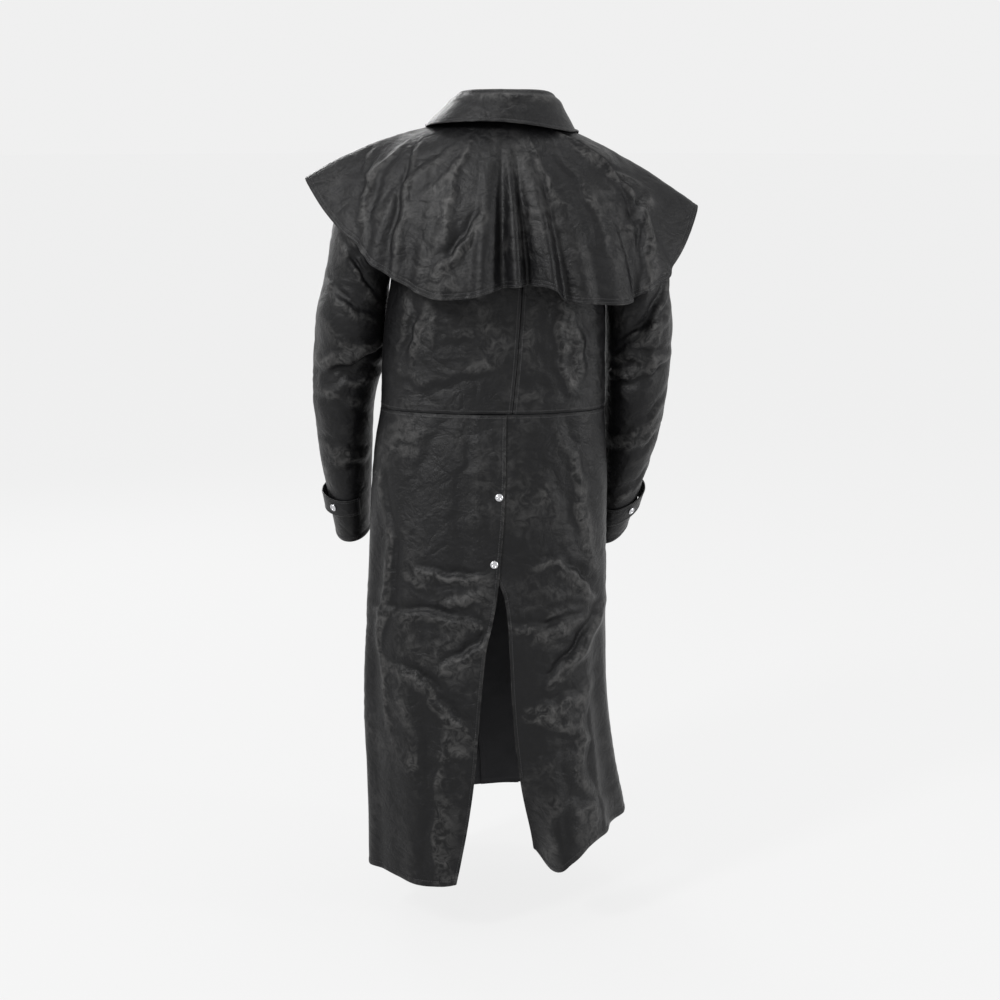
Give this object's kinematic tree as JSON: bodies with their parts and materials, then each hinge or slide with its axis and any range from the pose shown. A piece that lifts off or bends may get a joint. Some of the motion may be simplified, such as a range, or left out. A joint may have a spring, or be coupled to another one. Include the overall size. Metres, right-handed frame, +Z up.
{
  "type": "duster coat",
  "caption": "Long black leather riding coat, filled out as worn, with a shoulder cape, turned-down collar, strapped cuffs and an open back vent.",
  "frame": {"origin": "middle of the neck, level with the back of the neck seam, where the wearer's shoulders and neck hold the coat", "axes": "+Z up along the coat's length, the back faces +Y and the front -Y, +X is the wearer's left"},
  "size_m": [0.6272, 0.4084, 1.2611],
  "materials": {
    "leather": "soft semi-gloss grain",
    "snap_metal": "polished nickel"
  },
  "bodies": {
    "root": {"back_upper_left": "leather", "back_upper_right": "leather", "back_skirt_left": "leather", "back_skirt_right": "leather", "front_left": "leather", "front_right": "leather", "sleeve_left": "leather", "sleeve_right": "leather", "cuff_tab_left": "leather", "cuff_tab_right": "leather", "collar_stand": "leather", "collar_fall": "leather", "cape": "leather", "snap_cuff_left": "snap_metal", "snap_cuff_right": "snap_metal", "snap_vent_1": "snap_metal", "snap_vent_2": "snap_metal", "snap_front_1": "snap_metal", "snap_front_2": "snap_metal", "snap_front_3": "snap_metal", "snap_front_4": "snap_metal", "snap_front_5": "snap_metal"}
  },
  "joints": []
}
